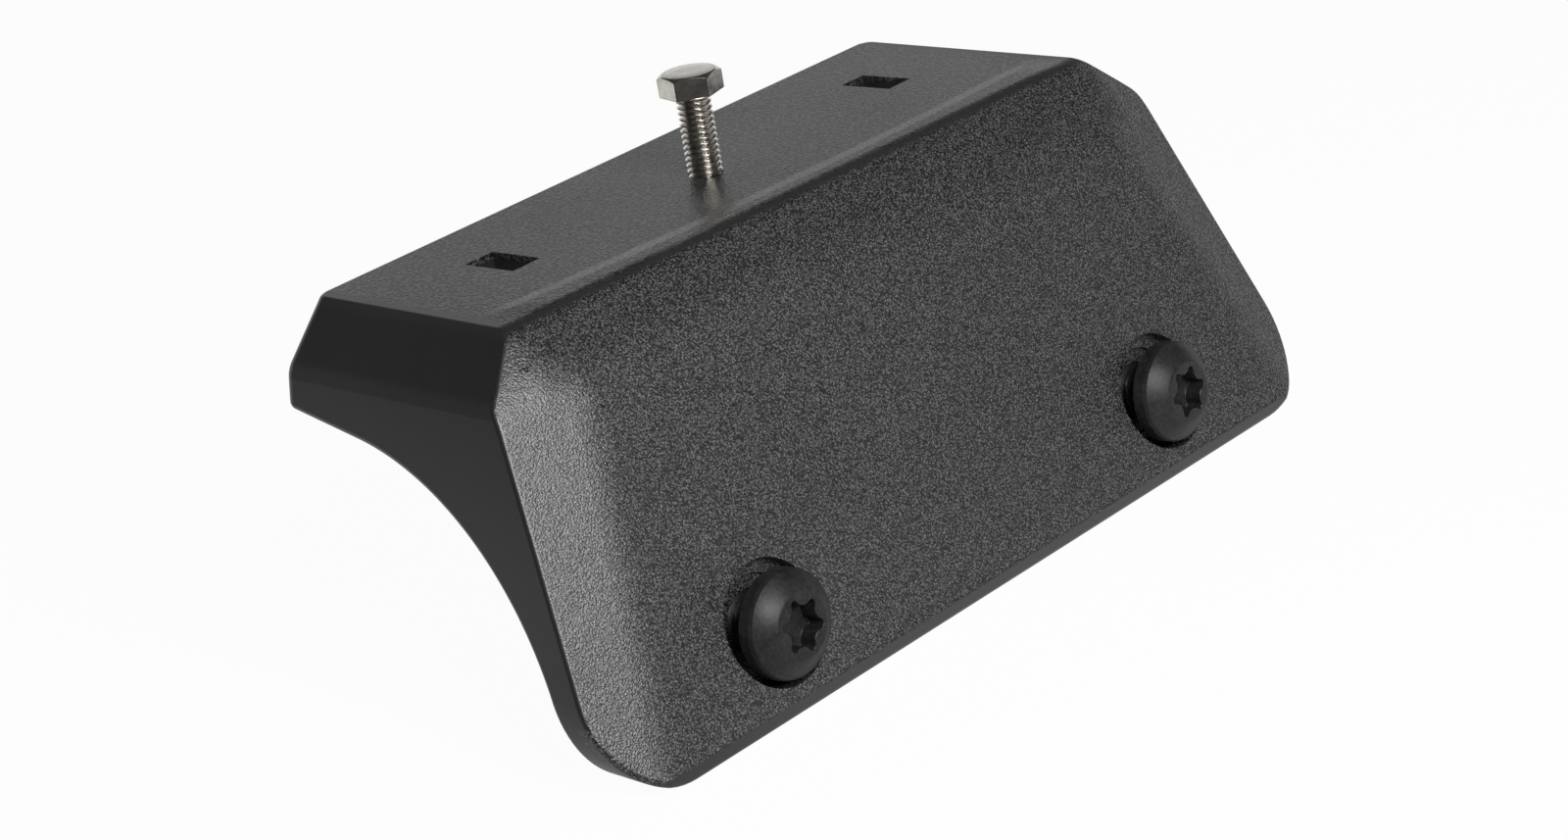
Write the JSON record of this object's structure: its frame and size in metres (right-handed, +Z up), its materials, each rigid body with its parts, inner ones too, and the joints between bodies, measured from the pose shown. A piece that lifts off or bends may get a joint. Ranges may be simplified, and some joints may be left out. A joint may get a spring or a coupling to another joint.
{
  "type": "roof rack mount",
  "caption": "Arched, faceted cast bracket that carries a roof rack bar: slotted flat top with a standing hexagon bolt, and domed clamp screws in recesses of the sloping front.",
  "frame": {"origin": "axis of the seat bolt, level with the flat top that the rack bar sits on", "axes": "+Z up out of the flat top, +X along the front to the viewer's right when facing it, +Y to the rear"},
  "size_m": [0.176, 0.0847, 0.0845],
  "materials": {
    "black_coat": "matte",
    "bright_steel": "satin",
    "black_steel": "satin"
  },
  "bodies": {
    "mount_body": {"casting": "black_coat"},
    "bolt": {"seat_bolt": "bright_steel"},
    "left_screw": {"screw_left": "black_steel"},
    "right_screw": {"screw_right": "black_steel"}
  },
  "joints": [
    {"name": "bolt_travel", "type": "slide", "parent": "mount_body", "child": "bolt", "axis": [0, 0, 1], "range_m": [-0.014, 0.012]},
    {"name": "left_screw_travel", "type": "slide", "parent": "mount_body", "child": "left_screw", "axis": [0, -0.9932, 0.1167], "range_m": [-0.0052, 0.008]},
    {"name": "right_screw_travel", "type": "slide", "parent": "mount_body", "child": "right_screw", "axis": [0, -0.9932, 0.1167], "range_m": [-0.0052, 0.008]}
  ]
}
